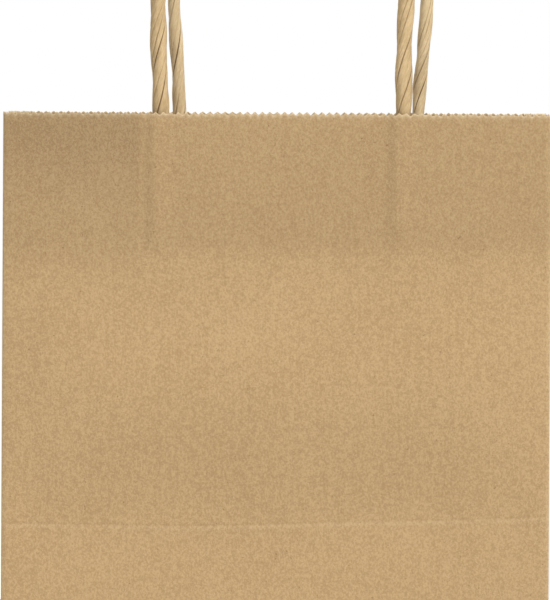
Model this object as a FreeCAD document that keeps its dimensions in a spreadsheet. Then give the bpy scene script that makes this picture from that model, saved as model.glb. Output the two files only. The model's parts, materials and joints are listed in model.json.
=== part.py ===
"""Paper gift bag with two twisted-cord handles, standing open, with folding side gussets.

Frame: +Z up, X across the front face, the front face towards -Y.
Origin: centre of the base, on the surface that the bag stands on.  Units: millimetres.
"""
import FreeCAD, Part
import os

import Sketcher

DIMENSIONS = {
    # the paper tube
    "bag_width": 210.0,
    "bag_depth": 110.0,
    "bag_height": 268.0,
    "paper": 0.2,
    "gusset_lean": 10.0,
    "crease_gap": 0.8,
    "tooth_depth": 1.2,
    "tooth_flat": 0.4,
    "panel_teeth": 72.0,
    "gusset_teeth": 19.0,
    # the folded base
    "base_lap": 20.0,
    "base_gap": 0.3,
    "diagonal_gap": 0.8,
    # the side seam
    "seam_width": 16.0,
    "seam_clearance": 2.2,
    # the handle patches, inside the mouth
    "patch_width": 152.0,
    "patch_height": 55.0,
    "patch_drop": 3.0,
    # the twisted-cord handles
    "cord_diameter": 5.2,
    "cord_channel_play": 0.15,
    "cord_glued": 50.0,
    "cord_spacing": 93.2,
    "arch_radius": 48.6,
    "arch_centre_rise": 58.0,
    "hinge_rise": 3.5,
    "hinge_gap": 0.25,
    "hinge_step": 0.05,
    "front_handle_shift": 1.9,
    "back_handle_shift": 8.5,
}

# lengths that follow from the driving dimensions, as expressions on the sheet
HALF_WIDTH = "Dims.bag_width / 2"
HALF_GUSSET = "Dims.bag_depth / 2"
HALF_MOUTH = "Dims.bag_depth / 2 * cos(Dims.gusset_lean)"
CREASE_INSET = "Dims.bag_depth / 2 * sin(Dims.gusset_lean)"
BASE_FLAP = f"({HALF_MOUTH} + Dims.base_lap / 2)"
BASE_SLANT = f"sqrt(({HALF_GUSSET}) ^ 2 + ({CREASE_INSET}) ^ 2)"
CORD_RADIUS = "Dims.cord_diameter / 2"
CORD_DEPTH = f"(Dims.paper + {CORD_RADIUS})"
HINGE_HEIGHT = "(Dims.bag_height + Dims.hinge_rise)"
PATCH_FOOT = "(Dims.bag_height - Dims.patch_drop - Dims.patch_height)"

doc = FreeCAD.newDocument("GiftBag")
sheet = doc.addObject("Spreadsheet::Sheet", "Dims")
for row, (alias, value) in enumerate(DIMENSIONS.items(), start=1):
    sheet.set(f"A{row}", alias)
    sheet.set(f"B{row}", str(value))
    sheet.setAlias(f"B{row}", alias)
doc.recompute()

nodes = []


def bind(obj, **expressions):
    """Bind properties to the sheet: a double underscore in a keyword stands for a dot."""
    for name, expression in expressions.items():
        obj.setExpression(name.replace("__", "."), expression)


def place(obj, x="0", y="0", z="0", turn="0", axis=(0, 0, 1)):
    """Place an object at x, y, z, turned about an axis by an angle in degrees."""
    quarter_turn = FreeCAD.Rotation(FreeCAD.Vector(*axis), 90)  # sets the axis; the angle is bound below
    obj.Placement = FreeCAD.Placement(FreeCAD.Vector(), quarter_turn)
    bind(obj, Placement__Base__x=x, Placement__Base__y=y, Placement__Base__z=z,
         Placement__Rotation__Angle=turn)


def add_node(obj, label):
    """Keep an object as a sub-part of the bag: its label names its file."""
    obj.Label = label
    nodes.append(obj)
    return obj


# ---------------------------------------------------------------- sketches

def new_sketch(body, name, role):
    """A sketch on one of the body's own origin planes."""
    sketch = body.newObject("Sketcher::SketchObject", name)
    plane = next(item for item in body.Origin.OriginFeatures if item.Role == role)
    sketch.AttachmentSupport = [(plane, "")]
    sketch.MapMode = "FlatFace"
    return sketch


def hold_point(sketch, geometry, end, across, up):
    """Hold a point of a sketch at two expressions, measured from the sketch's origin."""
    for kind, axis, expression in (("DistanceX", -2, across), ("DistanceY", -1, up)):
        if expression == "0":
            sketch.addConstraint(Sketcher.Constraint("PointOnObject", geometry, end, axis))
        else:
            value = float(sketch.evalExpression(expression))
            index = sketch.addConstraint(Sketcher.Constraint(kind, -1, 1, geometry, end, value))
            sketch.setExpression(f"Constraints[{index}]", expression)


def draw_outline(sketch, corners):
    """A closed outline of straight lines through corners given as pairs of expressions."""
    points = [FreeCAD.Vector(float(sketch.evalExpression(across)), float(sketch.evalExpression(up)), 0)
              for across, up in corners]
    for start, end in zip(points, points[1:] + points[:1]):
        sketch.addGeometry(Part.LineSegment(start, end), False)
    for index, (across, up) in enumerate(corners):
        sketch.addConstraint(Sketcher.Constraint("Coincident", index, 1, (index - 1) % len(corners), 2))
        hold_point(sketch, index, 1, across, up)


# ---------------------------------------------------------------- paper sheets

def paper_sheet(label, role, corners, side="One side", backwards=False):
    """A sheet of paper cut to an outline on one of its origin planes."""
    body = doc.addObject("PartDesign::Body", label)
    outline = new_sketch(body, f"{label}_outline", role)
    draw_outline(outline, corners)
    pad = body.newObject("PartDesign::Pad", f"{label}_pad")
    pad.Profile = outline
    pad.SideType = side
    pad.Reversed = backwards
    bind(pad, Length="Dims.paper")
    body.Tip = pad
    return add_node(body, label)


def cut_teeth(body, role, start, length, count):
    """Cut the saw-tooth edge that the tube is torn off along, across the top of a sheet."""
    doc.recompute()
    uncut = body.Shape.Volume
    pitch = f"({length}) / {count}"
    notch = new_sketch(body, f"{body.Label}_notch", role)
    draw_outline(notch, [
        (f"{start} + Dims.tooth_flat / 2", "Dims.bag_height + Dims.tooth_depth"),
        (f"{start} + {pitch} / 2", "Dims.bag_height - Dims.tooth_depth"),
        (f"{start} + {pitch} - Dims.tooth_flat / 2", "Dims.bag_height + Dims.tooth_depth"),
    ])
    pocket = body.newObject("PartDesign::Pocket", f"{body.Label}_notch_cut")
    pocket.Profile = notch
    pocket.Type = "ThroughAll"
    pocket.SideType = "Symmetric"
    pattern = body.newObject("PartDesign::LinearPattern", f"{body.Label}_teeth")
    pattern.Originals = [pocket]
    pattern.Direction = (notch, ["H_Axis"])
    bind(pattern, Length=f"({length}) - {pitch}", Occurrences=count)
    body.Tip = pattern
    doc.recompute()
    if not body.Shape.Volume < uncut:
        raise RuntimeError(f"{body.Label}: the teeth cut nothing")


def main_panel(label, y, backwards):
    """The front or back face of the tube, its inner side on the plane of the corner creases."""
    panel = paper_sheet(label, "XZ_Plane", [
        ("0", "0"),
        ("Dims.bag_width", "0"),
        ("Dims.bag_width", "Dims.bag_height"),
        ("0", "Dims.bag_height"),
    ], backwards=backwards)
    cut_teeth(panel, "XZ_Plane", "0", "Dims.bag_width", "Dims.panel_teeth")
    place(panel, x=f"-{HALF_WIDTH}", y=y)


def half_gusset(label, x, y, turn):
    """Half of a side gusset, from a corner crease to the centre crease, above the base's diagonal."""
    inner = f"{HALF_GUSSET} - Dims.crease_gap"
    gusset = paper_sheet(label, "YZ_Plane", [
        ("Dims.crease_gap", "Dims.crease_gap + Dims.diagonal_gap"),
        (inner, f"{inner} + Dims.diagonal_gap"),
        (inner, "Dims.bag_height"),
        ("Dims.crease_gap", "Dims.bag_height"),
    ], side="Symmetric")
    cut_teeth(gusset, "YZ_Plane", "Dims.crease_gap", f"{HALF_GUSSET} - 2 * Dims.crease_gap",
              "Dims.gusset_teeth")
    place(gusset, x=x, y=y, turn=turn)


def base_triangle(label, x, tilt, corner, middle, towards_middle):
    """Half of the triangle at the foot of a side, from a corner of the base to the side's middle."""
    rise = "3 * Dims.paper + Dims.base_gap"
    inset = f"({rise} + Dims.diagonal_gap) * {HALF_MOUTH} / {BASE_SLANT}"
    apex = f"{BASE_SLANT} - Dims.diagonal_gap"
    triangle = paper_sheet(label, "YZ_Plane", [
        (f"{corner} {towards_middle} ({inset})", rise),
        (middle, rise),
        (middle, apex),
    ], side="Symmetric")
    place(triangle, x=x, turn=tilt, axis=(0, 1, 0))


def base_flap(label, y, z, turn):
    """A long flap of the base, its ends folded back along the 45-degree diagonals."""
    flap = paper_sheet(label, "XY_Plane", [
        ("Dims.base_gap", "Dims.base_gap"),
        ("Dims.bag_width - Dims.base_gap", "Dims.base_gap"),
        (f"Dims.bag_width - {BASE_FLAP}", BASE_FLAP),
        (BASE_FLAP, BASE_FLAP),
    ])
    place(flap, x=f"-{HALF_WIDTH} * cos({turn})", y=y, z=z, turn=turn)


def box(label, length, width, height, x, y, z, turn="0"):
    """A box whose x, y and z place its own origin corner."""
    block = doc.addObject("Part::Box", label)
    bind(block, Length=length, Width=width, Height=height)
    place(block, x=x, y=y, z=z, turn=turn)
    return block


def paper_strip(label, *sizes_and_place):
    """A rectangular strip of paper, glued to a panel or folded into the base."""
    add_node(box(label, *sizes_and_place), label)


# ---------------------------------------------------------------- handles


def upright(label, radius, height, x, y, z):
    """A construction cylinder that stands along Z."""
    rod = doc.addObject("Part::Cylinder", label)
    bind(rod, Radius=radius, Height=height)
    place(rod, x=x, y=y, z=z)
    return rod


def channel_pieces(name, radius, foot, height):
    """Two upright channels of a U-shaped section, one over each glued leg of the cord."""
    pieces = []
    for side, sign in (("left", "-"), ("right", "+")):
        x = f"{sign}Dims.cord_spacing / 2"
        pieces.append(upright(f"{name}_{side}_round", radius, height, x, CORD_DEPTH, foot))
        pieces.append(box(f"{name}_{side}_walls", f"2 * ({radius})", CORD_RADIUS, height,
                          f"{x} - ({radius})", "Dims.paper", foot))
    return pieces


def handle_patch(side, y, turn, shift):
    """The patch glued inside a panel: a flat base strip, and a cover strip raised over the cords."""
    paper_strip(f"{side}_patch_base", "Dims.patch_width", "Dims.paper", "Dims.patch_height",
                f"{shift} - cos({turn}) * Dims.patch_width / 2", y, PATCH_FOOT, turn)

    inner = f"{CORD_RADIUS} + Dims.cord_channel_play"
    strip = box(f"{side}_patch_cover_strip", "Dims.patch_width", "Dims.paper", "Dims.patch_height",
                "-Dims.patch_width / 2", "Dims.paper", PATCH_FOOT)
    raised = doc.addObject("Part::MultiFuse", f"{side}_patch_cover_raised")
    raised.Shapes = [strip] + channel_pieces(f"{side}_ridge", f"{inner} + Dims.paper", PATCH_FOOT,
                                             "Dims.patch_height")
    hollow = doc.addObject("Part::MultiFuse", f"{side}_patch_cover_hollow")
    below = f"{PATCH_FOOT} - Dims.patch_drop"
    past_both_ends = "Dims.patch_height + 2 * Dims.patch_drop"
    behind = box(f"{side}_behind_cover", "Dims.patch_width", "Dims.cord_diameter", past_both_ends,
                 "-Dims.patch_width / 2", "Dims.paper - Dims.cord_diameter", below)
    hollow.Shapes = [behind] + channel_pieces(f"{side}_channel", inner, below, past_both_ends)
    cover = doc.addObject("Part::Cut", f"{side}_patch_cover")
    cover.Base = raised
    cover.Tool = hollow
    place(add_node(cover, f"{side}_patch_cover"), x=shift, y=y, turn=turn)


def handle_ends(side, y, turn, shift):
    """The two ends of the cord, glued between the patch's strips."""
    top = f"{HINGE_HEIGHT} - {CORD_RADIUS} - Dims.hinge_gap"
    foot = "Dims.bag_height - Dims.cord_glued"
    legs = [upright(f"{side}_handle_leg_{name}", CORD_RADIUS, f"{top} - ({foot})",
                    f"{sign}Dims.cord_spacing / 2", CORD_DEPTH, foot)
            for name, sign in (("left", "-"), ("right", "+"))]
    ends = doc.addObject("Part::Compound", f"{side}_handle_ends")
    ends.Links = legs
    place(add_node(ends, f"{side}_handle_ends"), x=shift, y=y, turn=turn)


def handle_loop(side, y, turn, shift):
    """The free loop of the cord, its ends on the hinge line where the cord bends at the mouth."""
    label = f"{side}_handle_loop"
    body = doc.addObject("PartDesign::Body", label)
    half_spacing = DIMENSIONS["cord_spacing"] / 2
    radius = DIMENSIONS["arch_radius"]
    rise = DIMENSIONS["arch_centre_rise"]

    path = new_sketch(body, f"{label}_path", "XZ_Plane")
    corners = [FreeCAD.Vector(x, z, 0)
               for x, z in ((half_spacing, 0), (radius, rise), (-radius, rise), (-half_spacing, 0))]
    arch = Part.Arc(corners[1], FreeCAD.Vector(0, rise + radius, 0), corners[2])
    path.addGeometry([Part.LineSegment(corners[0], corners[1]), arch,
                      Part.LineSegment(corners[2], corners[3])], False)
    path.addConstraint([
        Sketcher.Constraint("Tangent", 0, 2, 1, 1),
        Sketcher.Constraint("Tangent", 1, 2, 2, 1),
        Sketcher.Constraint("PointOnObject", 0, 1, -1),
        Sketcher.Constraint("Symmetric", 0, 1, 2, 2, -2),
        Sketcher.Constraint("PointOnObject", 1, 3, -2),
    ])
    for constraint, expression in (
            (Sketcher.Constraint("DistanceX", 2, 2, 0, 1, 2 * half_spacing), "Dims.cord_spacing"),
            (Sketcher.Constraint("Radius", 1, radius), "Dims.arch_radius"),
            (Sketcher.Constraint("DistanceY", -1, 1, 1, 3, rise), "Dims.arch_centre_rise")):
        path.setExpression(f"Constraints[{path.addConstraint(constraint)}]", expression)

    section = new_sketch(body, f"{label}_section", "XY_Plane")
    section.addGeometry(Part.Circle(FreeCAD.Vector(half_spacing, 0, 0), FreeCAD.Vector(0, 0, 1),
                                    DIMENSIONS["cord_diameter"] / 2), False)
    diameter = Sketcher.Constraint("Diameter", 0, DIMENSIONS["cord_diameter"])
    section.setExpression(f"Constraints[{section.addConstraint(diameter)}]", "Dims.cord_diameter")
    hold_point(section, 0, 3, "Dims.cord_spacing / 2", "0")
    doc.recompute()

    pipe = body.newObject("PartDesign::AdditivePipe", f"{label}_cord")
    pipe.Profile = section
    pipe.Spine = (path, ["Edge1", "Edge2", "Edge3"])
    body.Tip = pipe
    doc.recompute()
    for name, sign in (("right", ""), ("left", "-")):
        tip = body.newObject("PartDesign::AdditiveSphere", f"{label}_{name}_end")
        bind(tip, Radius=f"{CORD_RADIUS} - Dims.hinge_step",
             Placement__Base__x=f"{sign}Dims.cord_spacing / 2")
        body.Tip = tip
        doc.recompute()
    place(add_node(body, label), x=shift, y=y, z=HINGE_HEIGHT, turn=turn)


# ---------------------------------------------------------------- assembly

main_panel("front_panel", f"-{HALF_MOUTH}", False)
main_panel("back_panel", HALF_MOUTH, True)

half_gusset("left_gusset_front", f"-{HALF_WIDTH}", f"-{HALF_MOUTH}", "-Dims.gusset_lean")
half_gusset("left_gusset_back", f"-{HALF_WIDTH}", HALF_MOUTH, "180 + Dims.gusset_lean")
half_gusset("right_gusset_front", HALF_WIDTH, f"-{HALF_MOUTH}", "Dims.gusset_lean")
half_gusset("right_gusset_back", HALF_WIDTH, HALF_MOUTH, "180 - Dims.gusset_lean")

LEAN_OF_BASE = f"atan(({CREASE_INSET}) / ({HALF_GUSSET}))"
for side, x, tilt in (("left", f"-{HALF_WIDTH}", LEAN_OF_BASE), ("right", HALF_WIDTH, f"-{LEAN_OF_BASE}")):
    base_triangle(f"{side}_base_triangle_front", x, tilt, f"-{HALF_MOUTH}", "-Dims.base_gap / 2", "+")
    base_triangle(f"{side}_base_triangle_back", x, tilt, HALF_MOUTH, "Dims.base_gap / 2", "-")

base_flap("base_flap_back", HALF_MOUTH, "0", "180")
base_flap("base_flap_front", f"-{HALF_MOUTH}", "Dims.paper", "0")
for side, start in (("left", f"-{HALF_WIDTH} + Dims.base_gap"),
                    ("right", f"{HALF_WIDTH} - Dims.base_gap - {BASE_FLAP}")):
    paper_strip(f"{side}_base_tuck", BASE_FLAP, f"2 * ({HALF_MOUTH} - Dims.base_gap)", "Dims.paper",
                start, f"-{HALF_MOUTH} + Dims.base_gap", "2 * Dims.paper")

paper_strip("side_seam_flap", "Dims.seam_width", "Dims.paper",
            "Dims.bag_height - 2 * Dims.patch_drop",
            f"{HALF_WIDTH} - Dims.seam_clearance - Dims.seam_width",
            f"{HALF_MOUTH} - Dims.paper", "Dims.patch_drop")

for side, y, turn, shift in (("front", f"-{HALF_MOUTH}", "0", "Dims.front_handle_shift"),
                             ("back", HALF_MOUTH, "180", "Dims.back_handle_shift")):
    inward = "+" if side == "front" else "-"
    handle_patch(side, y, turn, shift)
    handle_ends(side, y, turn, shift)
    handle_loop(side, f"{y} {inward} {CORD_DEPTH}", turn, shift)

# ---------------------------------------------------------------- check and export

doc.recompute()
for obj in doc.Objects:
    if "Invalid" in obj.State or "Error" in obj.State:
        raise RuntimeError(f"{obj.Label} failed: {obj.State}")
os.makedirs("parts", exist_ok=True)
for node in nodes:
    if node.Shape.isNull() or not node.Shape.isValid():
        raise RuntimeError(f"{node.Label} has no valid shape")
    node.Shape.exportStep(f"parts/{node.Label}.step")
    size = node.Shape.BoundBox
    print(f"{node.Label}: {size.XMin:.1f}..{size.XMax:.1f}, {size.YMin:.1f}..{size.YMax:.1f}, "
          f"{size.ZMin:.1f}..{size.ZMax:.1f}, solids {len(node.Shape.Solids)}")
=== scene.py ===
"""A kraft paper gift bag with twisted-cord handles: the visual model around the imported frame."""
import json
import math

import bpy
import numpy as np
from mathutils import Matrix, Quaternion, Vector


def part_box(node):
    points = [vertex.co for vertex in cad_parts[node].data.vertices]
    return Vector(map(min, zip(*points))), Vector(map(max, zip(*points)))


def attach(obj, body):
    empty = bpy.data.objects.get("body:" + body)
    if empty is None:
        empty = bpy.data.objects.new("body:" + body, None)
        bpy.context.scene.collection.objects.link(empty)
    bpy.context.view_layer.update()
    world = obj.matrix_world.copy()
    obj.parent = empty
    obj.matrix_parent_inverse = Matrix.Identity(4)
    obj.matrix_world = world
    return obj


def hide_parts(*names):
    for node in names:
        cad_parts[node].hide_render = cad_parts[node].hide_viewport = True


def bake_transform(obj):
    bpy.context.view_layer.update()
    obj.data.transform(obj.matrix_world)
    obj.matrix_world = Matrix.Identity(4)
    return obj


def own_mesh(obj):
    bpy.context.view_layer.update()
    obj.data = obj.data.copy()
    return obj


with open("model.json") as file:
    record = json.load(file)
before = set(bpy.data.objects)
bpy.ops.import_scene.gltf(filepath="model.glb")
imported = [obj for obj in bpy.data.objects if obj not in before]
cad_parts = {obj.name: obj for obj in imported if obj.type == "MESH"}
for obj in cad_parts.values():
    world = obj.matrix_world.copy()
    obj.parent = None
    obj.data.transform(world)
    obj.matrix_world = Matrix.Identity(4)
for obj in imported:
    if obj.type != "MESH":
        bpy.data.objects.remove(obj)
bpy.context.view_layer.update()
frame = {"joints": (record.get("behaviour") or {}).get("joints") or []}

MM = 0.001

# ---------------------------------------------------------------- the frame's dimensions

joints = {joint["name"]: joint for joint in frame["joints"]}
corner = joints["gusset_fold"]["pos_m"]
centre_crease = joints["left_centre_crease"]["pos_m"]

HALF_WIDTH = -corner[0]
HALF_MOUTH = -corner[1]
CREASE_INSET = HALF_WIDTH + centre_crease[0]
GUSSET = math.hypot(HALF_MOUTH, CREASE_INSET)  # flat width of a half gusset, and the apex height
LEAN = math.asin(CREASE_INSET / GUSSET)
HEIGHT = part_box("front_panel")[1].z

ends_low, ends_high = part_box("front_handle_ends")
CORD_RADIUS = (ends_high.y - ends_low.y) / 2
LEG_SPACING = ends_high.x - ends_low.x - 2 * CORD_RADIUS
LEG_FOOT = ends_low.z
patch_low, patch_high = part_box("front_patch_cover")
PATCH_HALF = (patch_high.x - patch_low.x) / 2
PATCH_FOOT, PATCH_TOP = patch_low.z, patch_high.z

# ---------------------------------------------------------------- paper

PAPER = 0.24 * MM
PANEL_TEETH = 72
GUSSET_TEETH = 19
COLUMNS_PER_TOOTH = 6
TOOTH_DEPTH = 1.08 * MM
TOOTH_UNEVEN = (0.68, 1.1)  # the depths of single teeth, as shares of it
TOOTH_SHARP = 0.45  # how much of a tooth is pointed, the rest being rounded
TEAR = 0.1 * MM  # roughness of the torn edge
TOOTH_FADE = 7 * MM  # the rows follow the teeth down to here
CUT_EDGE = 0.95 * MM  # how far down the cut edge is pale
EDGE_ROWS = (8.0, 6.0, 4.5, 3.3, 2.4, 1.7, 1.2, 0.8, 0.5, 0.25, 0.0)  # mm below the mouth
PLAIN_ROWS_END = 10 * MM  # below the mouth

FOLD_ROUND = 0.42 * MM  # how far a face stands proud of its corner creases
FOLD_REACH = 0.7 * MM
STORE_CREASE_LEFT = 109.4 * MM  # the crease where the base was folded up, a little crooked
STORE_CREASE_RIGHT = 113.6 * MM
STORE_CREASE_SAG = 1.5 * MM
CREASE_WAVER, CREASE_WAVER_LENGTH = 0.3 * MM, 19 * MM
CREASE_DIP = 0.09 * MM
CREASE_REACH = 0.6 * MM
# a pale rubbed line just below the storage crease, partly a painted highlight on the groove's lower side
# that faces the light
CREASE_RUB_AND_HIGHLIGHT, CREASE_RUB_AND_HIGHLIGHT_BELOW, CREASE_RUB_AND_HIGHLIGHT_REACH = 0.13, 0.9 * MM, 0.8 * MM
FACE_ROWS = ((0, 0.35 * MM), (2.1 * MM, 2.6 * MM), (106 * MM, 0.3 * MM), (115 * MM, 2.6 * MM))

MOUTH_BOW = 1.3 * MM  # how far the stiff patch holds the mouth out between its corners
BOW_FOOT = 150 * MM
BOW_RISE = 90 * MM
BOW_BEND = 4 * MM  # how far beside a cord the face bends back
BULGE, BULGE_HEIGHT, BULGE_REACH = 3.4 * MM, 160 * MM, 32 * MM
LOW_BULGE, LOW_BULGE_HEIGHT, LOW_BULGE_REACH = 0.5 * MM, 52 * MM, 30 * MM
BULGE_EDGE = 46 * MM
BULGE_FOOT = 30 * MM
CREASE_HOLLOW, CREASE_HOLLOW_REACH, CREASE_HOLLOW_EDGE = 0.9 * MM, 16 * MM, 14 * MM
WAVE, WAVE_LENGTH, WAVE_EDGE = 0.28 * MM, 64 * MM, 12 * MM
COCKLE, COCKLE_LENGTH = 0.035 * MM, 17 * MM
PATCH_STEP = 0.08 * MM
PATCH_EDGE = 1.2 * MM
PATCH_TOP_EDGE = 0.8 * MM
RIDGE = 0.74 * MM  # the face pushed out by a glued cord
RIDGE_OFFSET = 2.4 * MM  # the ridge's crest is to the left of the cord
RIDGE_LEFT, RIDGE_RIGHT = 2.6 * MM, 4.6 * MM
RIDGE_FOOT, RIDGE_RISE = 6 * MM, 16 * MM

FOLD_WEAR = 0.3
RIM_WEAR = 0.4
FOLD_WEAR_REACH = 0.6 * MM
RIM_WEAR_REACH = 0.5 * MM
PATCH_PAINTED_SHADE = 0.38  # how much painted shade the patch's extra plies give the face, for the light they keep from shining through
PATCH_PAINTED_SHADE_RISE = 9 * MM
CORNER_PAINTED_SHADE_EDGE = 5 * MM  # the painted shade of the corner starts so far beyond the left cord, and sets in as fast
CORNER_PAINTED_SHADE_STEPS = ((198 * MM, 24 * MM), (228 * MM, 34 * MM))  # where each half of it starts, its rise


def smooth_step(value):
    """Rises smoothly from 0 at 0 to 1 at 1, and stays level outside."""
    value = np.clip(value, 0, 1)
    return value * value * (3 - 2 * value)


def hump(value, centre, reach):
    """A bell curve, 1 at its centre."""
    return np.exp(-((value - centre) / reach) ** 2)


def near(distance, reach):
    """1 at no distance, falling off over the reach."""
    return np.exp(-distance / reach)


def ripple(across, up, wavelength, seed):
    """Smooth, repeatable unevenness, mostly between -1 and 1."""
    random = np.random.default_rng(seed)
    total = np.zeros(np.broadcast(across, up).shape)
    waves = 7
    for _ in range(waves):
        angle, phase = random.uniform(0, math.pi), random.uniform(0, 2 * math.pi)
        length = wavelength * random.uniform(0.7, 1.7)
        along = across * math.cos(angle) + up * math.sin(angle)
        total = total + np.sin(2 * math.pi * along / length + phase)
    return total / math.sqrt(2 * waves)


def graded(*stops):
    """Values from the first stop to the last, each (value, step) giving the step up to the next stop."""
    values = []
    for (start, step), (end, _) in zip(stops, stops[1:]):
        count = max(1, round((end - start) / step))
        values += [start + (end - start) * index / count for index in range(count)]
    return np.array(values + [stops[-1][0]])


def unit(vectors):
    """Vectors of length 1, and 0 where they have no length."""
    tiny = 1e-12
    return vectors / np.maximum(np.linalg.norm(vectors, axis=-1, keepdims=True), tiny)


# ---------------------------------------------------------------- thin sheets

def add_mesh(name, points, faces):
    """A smooth mesh object in the scene."""
    mesh = bpy.data.meshes.new(name)
    mesh.from_pydata(points.tolist(), [], faces)
    mesh.update()
    mesh.shade_smooth()
    piece = bpy.data.objects.new(name, mesh)
    bpy.context.scene.collection.objects.link(piece)
    return piece


def set_attribute(piece, name, values):
    """A point attribute: a number or a vector for each vertex."""
    is_vector = values.ndim == 2
    attribute = piece.data.attributes.new(name, "FLOAT_VECTOR" if is_vector else "FLOAT", "POINT")
    flat_values = np.ascontiguousarray(values, np.float32).ravel()
    attribute.data.foreach_set("vector" if is_vector else "value", flat_values)


def sheet_points(middle, loop):
    """The upper and lower surface around a mid-surface, and the rim that joins them."""
    along_u = unit(np.gradient(middle, axis=0))
    along_v = unit(np.gradient(middle, axis=1))
    normal = unit(np.cross(along_u, along_v))
    outward = np.zeros_like(middle)
    outward[0] -= along_u[0]
    outward[-1] += along_u[-1]
    outward[:, 0] -= along_v[:, 0]
    outward[:, -1] += along_v[:, -1]
    upper = (middle + normal * PAPER / 2).reshape(-1, 3)
    lower = (middle - normal * PAPER / 2).reshape(-1, 3)
    rim = (middle + unit(outward) * PAPER / 2).reshape(-1, 3)[loop]
    return np.concatenate([upper, lower, rim])


def sheet_faces(index, loop):
    """Quads over both surfaces of a grid of points, and two rows of them round the rim."""
    layer = index.size
    corners = [index[:-1, :-1], index[1:, :-1], index[1:, 1:], index[:-1, 1:]]
    upper = np.stack(corners, -1).reshape(-1, 4)
    lower = upper[:, ::-1] + layer
    edge = 2 * layer + np.arange(len(loop))
    following, edge_next = np.roll(loop, -1), np.roll(edge, -1)
    rim_upper = np.stack([loop, edge, edge_next, following], -1)
    rim_lower = np.stack([loop + layer, following + layer, edge_next, edge], -1)
    return np.concatenate([upper, lower, rim_upper, rim_lower])


def thin_sheet(name, middle, flat, wear, ply):
    """A closed sheet around a grid of mid-surface points, with rounded rims.
    flat is each point's place on the flat paper, wear its rubbed edges with a painted highlight under the
    storage crease, and the last argument the painted shade laid on its colour, where paper behind it keeps
    light from shining through, and in a shaded corner."""
    across, up = middle.shape[:2]
    index = np.arange(across * up).reshape(across, up)
    loop = np.concatenate([index[:-1, 0], index[-1, :-1], index[:0:-1, -1], index[0, :0:-1]])
    piece = add_mesh(name, sheet_points(middle, loop), sheet_faces(index, loop).tolist())
    for attribute, values in (("paper", flat), ("wear", np.clip(wear, 0, 1)), ("ply", ply)):
        layer = values.reshape((across * up,) + values.shape[2:])
        set_attribute(piece, attribute, np.concatenate([layer, layer, layer[loop]]))
    return piece


def flat_place(across, up, sheet_number):
    """Where a point lies on the flat paper, apart from every other sheet's."""
    apart = 0.37
    return np.stack([across, up, np.full(across.shape, sheet_number * apart)], -1)


def toothed_rows(rows, columns, tooth_width, seed):
    """Heights of a grid's points: the rows near the top follow a torn saw-tooth edge.
    Also how near each point is to that edge, from 0 to 1."""
    random = np.random.default_rng(seed)
    teeth = round((columns[-1] - columns[0]) / tooth_width)
    place = (columns - columns[0]) / tooth_width
    tooth = np.clip(place.astype(int), 0, teeth - 1)
    depth = TOOTH_DEPTH * random.uniform(*TOOTH_UNEVEN, teeth)[tooth]
    sharp = np.abs(np.sin(math.pi * place)) ** 1.3
    rounded = (1 - np.cos(2 * math.pi * place)) / 2
    notch = depth * (TOOTH_SHARP * sharp + (1 - TOOTH_SHARP) * rounded)
    notch = notch + random.uniform(0, TEAR, len(columns))
    below_top = HEIGHT - rows
    follow = np.clip(1 - below_top / TOOTH_FADE, 0, 1)
    heights = rows[None, :] - notch[:, None] * follow[None, :]
    cut_edge = np.exp(-(below_top / CUT_EDGE) ** 1.5)
    return heights, np.broadcast_to(cut_edge[None, :], heights.shape)


def top_rows(*lower_stops):
    """Row heights up a sheet from stops of (height, step), close together below the toothed edge."""
    lower = graded(*lower_stops, (HEIGHT - PLAIN_ROWS_END, 0))
    return np.concatenate([lower, HEIGHT - np.array(EDGE_ROWS) * MM])


# ---------------------------------------------------------------- the faces

def handle_centre(side):
    """How far across the bag a handle's middle is."""
    return joints[f"{side}_handle_swing"]["pos_m"][0]


def store_crease(across):
    """Height of the crease across a face, left by folding the base up for storage."""
    share = (across + HALF_WIDTH) / (2 * HALF_WIDTH)
    slope = STORE_CREASE_LEFT + (STORE_CREASE_RIGHT - STORE_CREASE_LEFT) * share
    waver = CREASE_WAVER * np.sin(across / CREASE_WAVER_LENGTH)
    return slope - STORE_CREASE_SAG * np.sin(math.pi * share) + waver


def patch_mask(side, across, up):
    """1 where the handle patch lies behind a face, falling to 0 at its edges."""
    inside = PATCH_HALF - np.abs(across - handle_centre(side))
    between_sides = smooth_step(inside / PATCH_EDGE)
    above_foot = smooth_step((up - PATCH_FOOT) / PATCH_EDGE)
    below_top = smooth_step((PATCH_TOP - up) / PATCH_TOP_EDGE)
    return between_sides * above_foot * below_top


def bowed(side, across):
    """How a face bends at the mouth: flat between the cords, sloping back to its corners."""
    beside = np.abs(across - handle_centre(side)) - LEG_SPACING / 2
    gap = HALF_WIDTH - LEG_SPACING / 2
    return 1 - np.logaddexp(0, beside / BOW_BEND) * BOW_BEND / gap


def cord_ridges(side, across, up):
    """The face pushed out by the cords glued behind it, more sharply on the left."""
    total = 0.0
    for sign in (-1, 1):
        beside = across - (handle_centre(side) + sign * LEG_SPACING / 2 - RIDGE_OFFSET)
        reach = np.where(beside < 0, RIDGE_LEFT, RIDGE_RIGHT)
        along = smooth_step((up - LEG_FOOT + RIDGE_FOOT) / RIDGE_RISE)
        total = total + RIDGE * hump(beside, 0, reach) * along
    return total


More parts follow.
